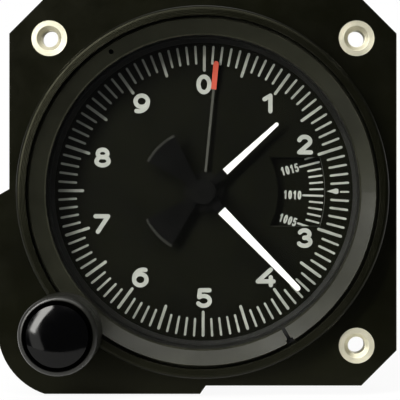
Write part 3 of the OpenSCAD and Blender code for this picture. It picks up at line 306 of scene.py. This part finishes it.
def index_groups():
    """The fixed mark that the pressure is read against."""
    shoulder, blunt = INDEX_OUT - INDEX_CORNER, INDEX_HALF * 0.7
    outline = [(INDEX_IN, 0), (shoulder, -INDEX_HALF), (INDEX_OUT, -blunt),
               (INDEX_OUT, blunt), (shoulder, INDEX_HALF)]
    return [[[Vector(p) + PRINT_SHIFT for p in outline]]]


def pressure_groups():
    groups = []
    for value in PRESSURES:
        angle = WINDOW_AT + (PRESSURE_AT_INDEX - value) * DEGREES_PER_UNIT
        major = value % LONG_EVERY == 0
        inner = SCALE_LONG_TICK_IN if major else SCALE_TICK_IN
        width = SCALE_LONG_TICK_W if major else SCALE_TICK_W
        groups.append([radial_tick(angle, inner, SCALE_OUT, width)])
        if not major:
            continue
        out = clock_dir(angle)
        up = Vector((-out.y, out.x))
        for k, character in enumerate(str(value)):
            missing = 4 - len(str(value))
            along = LABEL_IN + LABEL_STEP * (missing + k + 0.5)
            groups.append(glyph(character, LABEL_H, LABEL_W, LABEL_STROKE,
                                lambda p: out * (along + p[0]) + up * p[1]))
    return groups


# Materials

def empty_material(name):
    """A material, its node tree, and the socket that its surface goes into."""
    material = bpy.data.materials.new(name)
    material.use_nodes = True
    tree = material.node_tree
    tree.nodes.clear()
    return material, tree, tree.nodes.new("ShaderNodeOutputMaterial").inputs["Surface"]


def add(tree, kind, inputs=None, **settings):
    """A node with its settings, and inputs given as values or as other nodes' sockets."""
    node = tree.nodes.new(kind)
    for key, value in settings.items():
        setattr(node, key, value)
    for key, value in (inputs or {}).items():
        if isinstance(value, bpy.types.NodeSocket):
            tree.links.new(value, node.inputs[key])
        else:
            node.inputs[key].default_value = value
    return node


def math_node(tree, operation, a, b=0.0, clamp=False):
    return add(tree, "ShaderNodeMath", {0: a, 1: b}, operation=operation, use_clamp=clamp).outputs[0]


def ramp(tree, value, low, high, out_low=0.0, out_high=1.0):
    return add(tree, "ShaderNodeMapRange",
               {"Value": value, "From Min": low, "From Max": high, "To Min": out_low, "To Max": out_high},
               interpolation_type="SMOOTHSTEP").outputs[0]


def mix(tree, factor, a, b):
    return add(tree, "ShaderNodeMix", {0: factor, 6: a, 7: b}, data_type="RGBA").outputs[2]


def noise(tree, scale, detail=3.0, rough=0.55, stretch=None):
    coords = object_coords(tree)
    if stretch:
        coords = add(tree, "ShaderNodeMapping", {"Vector": coords, "Scale": stretch}).outputs[0]
    return add(tree, "ShaderNodeTexNoise",
               {"Vector": coords, "Scale": scale, "Detail": detail, "Roughness": rough}).outputs[0]


def patches(tree, scale, low=0.0, high=1.0):
    """Soft cloudy areas between two values."""
    return ramp(tree, noise(tree, scale), 0.3, 0.7, low, high)


def vector_math(tree, operation, a, b=None):
    inputs = {0: a} if b is None else {0: a, 1: b}
    return add(tree, "ShaderNodeVectorMath", inputs, operation=operation).outputs[0]


def dot(tree, a, b):
    return add(tree, "ShaderNodeVectorMath", {0: a, 1: b}, operation="DOT_PRODUCT").outputs["Value"]


def vector_length(tree, vector):
    return add(tree, "ShaderNodeVectorMath", {0: vector}, operation="LENGTH").outputs["Value"]


def object_coords(tree):
    return add(tree, "ShaderNodeTexCoord").outputs["Object"]


def axis_y(tree, vector):
    return add(tree, "ShaderNodeSeparateXYZ", {0: vector}).outputs["Y"]


def surface_normal(tree):
    return add(tree, "ShaderNodeNewGeometry").outputs["Normal"]


def shade(color, factor):
    return (color[0] * factor, color[1] * factor, color[2] * factor, 1.0)


def edge_mask(tree):
    """Rises along edges, where the rounded normal leaves the true one."""
    bevel = add(tree, "ShaderNodeBevel", {"Radius": WORN_EDGE * MM}, samples=4).outputs[0]
    away = math_node(tree, "SUBTRACT", 1.0, dot(tree, bevel, surface_normal(tree)))
    return ramp(tree, away, 0.02, 0.25)


def finish(name, color, rough, metallic=0.0, specular=0.5, spread=0.25, patch_scale=90.0,
           grain_scale=2200.0, grain=0.00002, rough_spread=0.08, wear=None, wear_amount=0.6,
           stretch=None, coat=0.0, tint=(1.0, 1.0, 1.0)):
    """A surface with patches of colour, grain in its gloss and relief, and worn edges."""
    material, tree, surface = empty_material(name)
    shader = add(tree, "ShaderNodeBsdfPrincipled")
    tree.links.new(shader.outputs[0], surface)
    base = mix(tree, patches(tree, patch_scale), shade(color, 1 - spread), shade(color, 1 + spread))
    fine = noise(tree, grain_scale, detail=2.0, rough=0.6, stretch=stretch)
    if wear:
        scuffs = ramp(tree, noise(tree, 420.0, detail=4.0, rough=0.7), 0.42, 0.62)
        wear_and_highlight = math_node(tree, "MULTIPLY", edge_mask(tree), scuffs)
        wear_and_highlight = math_node(tree, "MULTIPLY", wear_and_highlight, wear_amount)
        base = mix(tree, wear_and_highlight, base, (*wear, 1.0))
    tree.links.new(base, shader.inputs["Base Color"])
    gloss = math_node(tree, "MULTIPLY", math_node(tree, "SUBTRACT", fine, 0.5), 2 * rough_spread)
    dull = patches(tree, patch_scale * 2.3, rough - rough_spread, rough + rough_spread)
    gloss = math_node(tree, "ADD", gloss, dull, clamp=True)
    tree.links.new(gloss, shader.inputs["Roughness"])
    bump = add(tree, "ShaderNodeBump", {"Height": fine, "Strength": 1.0, "Distance": grain})
    tree.links.new(bump.outputs[0], shader.inputs["Normal"])
    shader.inputs["Metallic"].default_value = metallic
    shader.inputs["Specular IOR Level"].default_value = specular
    shader.inputs["Specular Tint"].default_value = (*tint, 1.0)
    if coat:
        shader.inputs["Coat Weight"].default_value = coat
        shader.inputs["Coat Roughness"].default_value = 0.06
    return material, tree, shader, base, fine


def plain(*settings, **more):
    """A finish whose nodes nothing else is added to."""
    return finish(*settings, **more)[0]


def pointer_paint(name, angle, paint, start, rest, rim=None, rim_low=0.0, rim_high=1.0, stem=None):
    """Paint on the outer part of a pointer, a dark hub and tail, a painted highlight in blotches along the tail's
    rim, and a stem of its own colour.
    """
    material, tree, shader = finish(name, rest, 0.5, specular=0.05, spread=0.2,
                                    grain_scale=3000.0, grain=0.000006)[:3]
    coords = object_coords(tree)
    along = clock_dir(angle)
    reach = dot(tree, coords, (along.x / MM, 0.0, along.y / MM))
    mask = ramp(tree, reach, start - PAINT_BLUR, start + PAINT_BLUR)
    painted = mix(tree, patches(tree, 260.0), shade(paint, 0.95), shade(paint, 1.03))
    bare = mix(tree, patches(tree, 200.0), shade(rest, 0.8), shade(rest, 1.2))
    if rim:
        # Painted highlight: a lighter colour along the tail's rim, broken into blotches by noise
        radius = vector_length(tree, vector_math(tree, "MULTIPLY", coords, (1 / MM, 0.0, 1 / MM)))
        at_rim = ramp(tree, radius, RIM_HIGHLIGHT_FROM, RIM_HIGHLIGHT_FULL)
        on_tail = math_node(tree, "LESS_THAN", reach, 0.0)
        wear_and_highlight = ramp(tree, noise(tree, 180.0, detail=2.0), rim_low, rim_high)
        wear_and_highlight = math_node(tree, "MULTIPLY", math_node(tree, "MULTIPLY", at_rim, on_tail), wear_and_highlight)
        bare = mix(tree, wear_and_highlight, bare, (*rim, 1.0))
    if stem:
        past_disc = ramp(tree, reach, DISC_R - STEM_BLUR, DISC_R + STEM_BLUR)
        bare = mix(tree, past_disc, bare, (*stem, 1.0))
    tree.links.new(mix(tree, mask, bare, painted), shader.inputs["Base Color"])
    return material


def mix_shaders(tree, factor, first, second, surface):
    both = add(tree, "ShaderNodeMixShader", {0: factor, 1: first.outputs[0], 2: second.outputs[0]})
    tree.links.new(both.outputs[0], surface)


def glass_material():
    """Clear flat glass: lamps reach the dial, and only a faint sheen comes back."""
    material, tree, surface = empty_material("clear_glass")
    clear = add(tree, "ShaderNodeBsdfTransparent", {"Color": (0.985, 0.99, 0.987, 1.0)})
    smudges = ramp(tree, noise(tree, 70.0, detail=4.0), 0.35, 0.75, out_low=0.02, out_high=0.09)
    sheen = add(tree, "ShaderNodeBsdfGlossy", {"Color": WHITE, "Roughness": smudges})
    edge = add(tree, "ShaderNodeFresnel", {"IOR": 1.2})
    mix_shaders(tree, edge.outputs[0], clear, sheen, surface)
    return material


def turned_normal(tree, outward, radius, where, slope):
    """Normals that lean in and out along fine turned rings, where the mask is one."""
    rings = math_node(tree, "MULTIPLY", radius, 2 * math.pi / (TURNED_PITCH * MM))
    wave = math_node(tree, "SINE", rings)
    lean = math_node(tree, "MULTIPLY", math_node(tree, "MULTIPLY", wave, where), slope)
    leaned = add(tree, "ShaderNodeVectorMath", {0: outward, "Scale": lean}, operation="SCALE").outputs[0]
    return vector_math(tree, "NORMALIZE", vector_math(tree, "ADD", surface_normal(tree), leaned))


def across(tree, vector):
    """The vector without its part along the dial's axis."""
    return vector_math(tree, "MULTIPLY", vector, (1.0, 0.0, 1.0))


def case_material():
    """Old black paint, with turned rings showing through on the boss's front."""
    material, tree, shader = finish("case_black", (0.0010, 0.0011, 0.0003), 0.36, specular=0.115,
                                    spread=0.3, patch_scale=55.0, grain_scale=1500.0, grain=0.000012,
                                    rough_spread=0.04, tint=(1.0, 1.0, 0.7),
                                    wear=(0.035, 0.034, 0.028), wear_amount=0.6)[:3]
    flat = across(tree, object_coords(tree))
    radius = vector_length(tree, flat)
    outward = vector_math(tree, "NORMALIZE", flat)
    facing = math_node(tree, "LESS_THAN", axis_y(tree, surface_normal(tree)), -0.9)
    beyond = math_node(tree, "GREATER_THAN", radius, TURNED_IN * MM)
    within = math_node(tree, "LESS_THAN", radius, TURNED_OUT * MM)
    where = math_node(tree, "MULTIPLY", facing, math_node(tree, "MULTIPLY", beyond, within))
    normal = turned_normal(tree, outward, radius, where, slope=0.28)
    tree.links.new(normal, shader.inputs["Normal"].links[0].from_node.inputs["Normal"])
    return material


def knob_material():
    """Dark plastic of the knob, with painted shade in the groove around the cap and along the groove's rim: a
    near-black colour and no gloss there.
    """
    specular = 0.32
    material, tree, shader, base, _ = finish("knob_black", (0.0072, 0.0072, 0.0058), 0.34,
                                             specular=specular, spread=0.2, grain_scale=2400.0,
                                             grain=0.000008, wear=(0.06, 0.058, 0.05), wear_amount=0.4)
    axis = place_of(frame["joints"], "knob_turn")
    radius = vector_length(tree, across(tree, vector_math(tree, "SUBTRACT", object_coords(tree), axis)))
    # Painted shade in the groove: near-black colour and no gloss inside the rim, full colour and gloss outside it
    rim = ramp(tree, radius, KNOB_PAINTED_SHADE_TO * MM, KNOB_PAINTED_SHADE_END * MM)
    tree.links.new(mix(tree, rim, (0.0006, 0.0006, 0.0005, 1.0), base), shader.inputs["Base Color"])
    tree.links.new(math_node(tree, "MULTIPLY", rim, specular), shader.inputs["Specular IOR Level"])
    return material


def insert_material():
    """Turned nickel with rings on the face and a thread in the bore."""
    material, tree, shader = finish("turned_nickel", (0.62, 0.595, 0.47), 0.5, metallic=1.0,
                                    spread=0.06, grain_scale=1600.0, grain=0.000004)[:3]
    coords = object_coords(tree)
    centre = place_of(frame["record"]["mounts"], "top_right_thread")
    local = vector_math(tree, "SUBTRACT", vector_math(tree, "ABSOLUTE", coords), centre)
    flat = across(tree, local)
    radius = vector_length(tree, flat)
    outward = vector_math(tree, "MULTIPLY", flat, vector_math(tree, "SIGN", coords))
    outward = vector_math(tree, "NORMALIZE", outward)
    on_face = math_node(tree, "GREATER_THAN", radius, INSERT_FACE_FROM * MM)
    normal = turned_normal(tree, outward, radius, on_face, slope=0.20)
    thread = math_node(tree, "PINGPONG", axis_y(tree, coords), THREAD_PITCH * MM / 2)
    in_bore = math_node(tree, "LESS_THAN", radius, INSERT_FACE_FROM * MM)
    relief = math_node(tree, "MULTIPLY", thread, in_bore)
    bump = add(tree, "ShaderNodeBump",
               {"Height": relief, "Strength": 0.3, "Distance": 1.0, "Normal": normal})
    tree.links.new(bump.outputs[0], shader.inputs["Normal"])
    return material


def dial_material():
    """Matt black paint on the faces, and bare metal where the plate is cut."""
    material, tree, shader, base, _ = finish("dial_black", (0.0022, 0.0024, 0.0006), 0.55,
                                             specular=0.05, spread=0.22, patch_scale=120.0,
                                             grain_scale=3500.0, grain=0.000008)
    facing = math_node(tree, "ABSOLUTE", axis_y(tree, surface_normal(tree)))
    cut = ramp(tree, facing, 0.3, 0.6, out_low=1.0, out_high=0.0)
    tree.links.new(mix(tree, cut, base, (0.12, 0.12, 0.11, 1.0)), shader.inputs["Base Color"])
    return material


def ring_material():
    return plain("ring_black", (0.0138, 0.0142, 0.0098), 0.22, specular=0.07, spread=0.2,
                 rough_spread=0.02, grain_scale=1800.0, grain=0.000006,
                 wear=(0.10, 0.095, 0.07), wear_amount=0.4)


def spacer_material():
    return plain("spacer_black", (0.0055, 0.0055, 0.0042), 0.5, specular=0.3, spread=0.2,
                 grain_scale=2600.0, grain=0.00001)


def hub_material():
    return plain("hub_black", (0.0016, 0.0016, 0.0013), 0.5, specular=0.07, spread=0.2,
                 grain_scale=2600.0, grain=0.000008, wear=(0.02, 0.02, 0.017), wear_amount=0.4)


def cap_material():
    return plain("cap_gloss", (0.0001, 0.0001, 0.0002), 0.1, specular=0.15, spread=0.3,
                 grain_scale=900.0, grain=0.0000006, rough_spread=0.03)


def rubber_material():
    return plain("seal_rubber", (0.012, 0.012, 0.012), 0.75, specular=0.3, spread=0.25,
                 grain_scale=1800.0, grain=0.00002)


def fibre_material():
    return plain("fibre_washer", (0.28, 0.07, 0.035), 0.7, specular=0.3, spread=0.25,
                 grain_scale=1300.0, grain=0.00002, stretch=(1.0, 1.0, 4.0))


def jewel_material():
    return plain("jewel_red", (0.45, 0.03, 0.07), 0.12, specular=0.7, spread=0.2,
                 grain_scale=900.0, grain=0.000001, coat=0.5)


def capsule_material():
    return plain("capsule_metal", (0.70, 0.66, 0.55), 0.38, metallic=1.0, spread=0.1,
                 grain_scale=1200.0, grain=0.000006)


def steel_material():
    return plain("turned_steel", (0.55, 0.56, 0.57), 0.32, metallic=1.0, spread=0.12,
                 grain_scale=1500.0, grain=0.000006, stretch=(1.0, 8.0, 1.0))


def brass_material():
    return plain("turned_brass", (0.72, 0.53, 0.22), 0.3, metallic=1.0, spread=0.14,
                 grain_scale=1500.0, grain=0.000006, stretch=(1.0, 8.0, 1.0),
                 wear=(0.9, 0.75, 0.42), wear_amount=0.5)


def long_pointer_material():
    return pointer_paint("long_pointer_paint", LONG_AT, POINTER_WHITE, LONG_PAINT_FROM, POINTER_BLACK,
                         rim=RIM_HIGHLIGHT, rim_low=0.2, rim_high=0.4)


def short_pointer_material():
    return pointer_paint("short_pointer_paint", SHORT_AT, POINTER_WHITE, SHORT_PAINT_FROM, POINTER_BLACK,
                         rim=RIM_HIGHLIGHT, rim_low=0.5, rim_high=0.56)


def third_pointer_material():
    """A red tip, a grey stem and a black disc."""
    return pointer_paint("third_pointer_paint", THIRD_AT, (0.46, 0.078, 0.05), THIRD_PAINT_FROM,
                         (0.003, 0.003, 0.0022), stem=(0.06, 0.06, 0.052))


def tick_ink():
    return plain("dial_ink", (0.315, 0.325, 0.29), 0.6, specular=0.3, spread=0.14,
                 patch_scale=300.0, grain_scale=3000.0, grain=0.000008)


def numeral_ink():
    return plain("numeral_ink", (0.355, 0.365, 0.335), 0.6, specular=0.3, spread=0.08,
                 patch_scale=300.0, grain_scale=3000.0, grain=0.000008)


# Putting finishes on the CAD nodes

def dress(material, *nodes):
    for name in nodes:
        node = frame["nodes"][name]
        node.data.materials.clear()
        node.data.materials.append(material)


def dress_outside():
    dress(case_material(), "case_body", "mounting_flange", "pinion_cover", "rear_cover")
    dress(ring_material(), "retaining_ring")
    dress(spacer_material(), "spacer_ring")
    dress(dial_material(), "dial_plate", "scale_disc")
    dress(knob_material(), "knob_body")
    dress(cap_material(), "knob_cap")
    dress(insert_material(), "mounting_inserts")
    dress(glass_material(), "front_glass")
    dress(fibre_material(), "nipple_washer")


def dress_pointers():
    dress(hub_material(), "long_hub", "short_hub")
    dress(long_pointer_material(), "long_pointer")
    dress(short_pointer_material(), "short_pointer")
    dress(third_pointer_material(), "third_pointer")


def dress_inside():
    dress(rubber_material(), "glass_seal", "shaft_seal", "rear_gasket")
    dress(jewel_material(), "jewels")
    dress(capsule_material(), "aneroid_capsules")


def dress_metal():
    dress(steel_material(), "case_screws", "static_nipple", "collet_screw", "knob_shaft",
          "scale_screws", "front_pillars", "rear_pillars", "plate_screws", "hairspring",
          "capsule_bracket", "bracket_screws", "capsule_stud", "link_rod", "rocking_shaft",
          "second_arbor", "pointer_staff")
    dress(brass_material(), "knob_bushing", "gland_washer", "rear_pivot_bush", "knob_collet",
          "setting_pinion", "front_plate", "setting_ring_gear", "ring_gear_rivets", "middle_plate",
          "rear_plate", "hairspring_stud", "capsule_boss", "rocking_arm", "sector_gear",
          "second_wheel", "short_sleeve", "short_sleeve_wheel", "third_sleeve",
          "third_sleeve_wheel", "first_idler", "second_idler")


def print_dial():
    ticks, numerals = tick_ink(), numeral_ink()
    dial_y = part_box("dial_plate")[0].y
    scale_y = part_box("scale_disc")[0].y
    ink_piece("dial_ticks", dial_tick_groups(), dial_y, INK_T, "case", ticks)
    ink_piece("dial_numerals", dial_numeral_groups(), dial_y, INK_T, "case", numerals)
    ink_piece("pressure_index", index_groups(), dial_y, INK_T, "case", numerals)
    ink_piece("pressure_scale", pressure_groups(), scale_y, INK_T, "movement", numerals)


# Studio

def larger(tree, a, b):
    return math_node(tree, "MAXIMUM", a, b)


def seen_directly(tree):
    """One where the camera looks, also through the clear glass."""
    return add(tree, "ShaderNodeLightPath").outputs["Is Camera Ray"]


def build_world():
    """White to the camera, a dim room in front of the object and a light one behind it."""
    world = bpy.data.worlds.new("studio")
    scene.world = world
    world.use_nodes = True
    tree = world.node_tree
    tree.nodes.clear()
    out = tree.nodes.new("ShaderNodeOutputWorld")
    direction = add(tree, "ShaderNodeTexCoord").outputs["Generated"]
    parts = add(tree, "ShaderNodeSeparateXYZ", {0: direction}).outputs
    level = ramp(tree, parts["Y"], -0.1, 0.6, out_low=ROOM_BEFORE, out_high=ROOM_BEHIND)
    above = ramp(tree, parts["Z"], 0.55, 0.95, out_high=ROOM_ABOVE)
    room = math_node(tree, "ADD", level, above)
    glossy = add(tree, "ShaderNodeLightPath").outputs["Is Glossy Ray"]
    glossy_back = math_node(tree, "MULTIPLY", glossy, ramp(tree, parts["Y"], 0.1, 0.6))
    shown = larger(tree, seen_directly(tree), glossy_back)
    strength = add(tree, "ShaderNodeMix", {0: shown, 2: room, 3: 1.0}, data_type="FLOAT")
    light = add(tree, "ShaderNodeBackground", {"Color": WHITE, "Strength": strength.outputs[0]})
    tree.links.new(light.outputs[0], out.inputs["Surface"])


def build_floor(height):
    """A pale floor that turns to plain white away from the object, and keeps its shadow."""
    corners = [(-FLOOR_HALF, FLOOR_FRONT), (FLOOR_HALF, FLOOR_FRONT),
               (FLOOR_HALF, FLOOR_HALF), (-FLOOR_HALF, FLOOR_HALF)]
    mesh = bpy.data.meshes.new("floor")
    mesh.from_pydata([(x, y, height) for x, y in corners], [], [(0, 1, 2, 3)])
    floor = bpy.data.objects.new("floor", mesh)
    scene.collection.objects.link(floor)
    material, tree, surface = empty_material("pale_floor")
    coords = object_coords(tree)
    aside = ramp(tree, vector_length(tree, coords), FLOOR_FADE_NEAR, FLOOR_FADE_FAR)
    before = ramp(tree, axis_y(tree, coords), FLOOR_FRONT, FLOOR_FADE_END, out_low=1.0, out_high=0.0)
    far = larger(tree, aside, before)
    speckle = patches(tree, 60.0, low=0.80, high=0.84)
    tone = add(tree, "ShaderNodeCombineColor", {0: speckle, 1: speckle, 2: speckle}).outputs[0]
    pale = add(tree, "ShaderNodeBsdfDiffuse", {"Color": tone})
    white = add(tree, "ShaderNodeEmission", {"Color": WHITE, "Strength": 1.0})
    lift = math_node(tree, "ADD", math_node(tree, "MULTIPLY", far, 1.0 - FLOOR_LIFT), FLOOR_LIFT)
    share = math_node(tree, "MULTIPLY", lift, seen_directly(tree))
    mix_shaders(tree, share, pale, white, surface)
    floor.data.materials.append(material)


def softbox(name, clock, off_axis, width, height, power, reach=0.8):
    """A rectangular softbox that faces the dial, its width running around the dial's axis."""
    data = bpy.data.lights.new(name, "AREA")
    data.shape = "RECTANGLE"
    data.size, data.size_y = width, height
    data.energy = power
    data.color = LAMP_COLOR
    lamp = bpy.data.objects.new(name, data)
    scene.collection.objects.link(lamp)
    side = clock_dir(clock)
    tilt = math.radians(off_axis)
    out = Vector((side.x * math.sin(tilt), -math.cos(tilt), side.y * math.sin(tilt)))
    around = Vector((side.y, 0.0, -side.x))
    turn = Matrix((around, out.cross(around), out)).transposed()
    lamp.location = out * reach
    lamp.rotation_euler = turn.to_euler()


def build_lamps():
    softbox("key_softbox", clock=303, off_axis=46, width=0.76, height=0.16, power=11.9)
    softbox("top_softbox", clock=4, off_axis=55, width=0.7, height=0.2, power=4.6)
    softbox("left_panel", clock=252, off_axis=47, width=0.5, height=0.26, power=0.9)


def build_camera():
    """The photograph's view: nearly straight at the dial."""
    data = bpy.data.cameras.new("photo_camera")
    data.sensor_width = SENSOR_WIDTH
    data.lens = SENSOR_WIDTH * CAMERA_AWAY / VIEW_WIDTH
    data.shift_x = CAMERA_SHIFT_X
    data.shift_y = CAMERA_SHIFT_Y
    data.clip_start = NEAREST_SEEN
    camera = bpy.data.objects.new("photo_camera", data)
    scene.collection.objects.link(camera)
    camera.location = (CAMERA_X, -CAMERA_AWAY, CAMERA_Z)
    camera.rotation_euler = (math.radians(90), 0.0, 0.0)
    scene.camera = camera


scene.view_settings.view_transform = "Standard"
build_camera()
build_world()
build_lamps()
build_floor(cad_box[0][2] - FLOOR_GAP)
dress_outside()
dress_pointers()
dress_inside()
dress_metal()
print_dial()
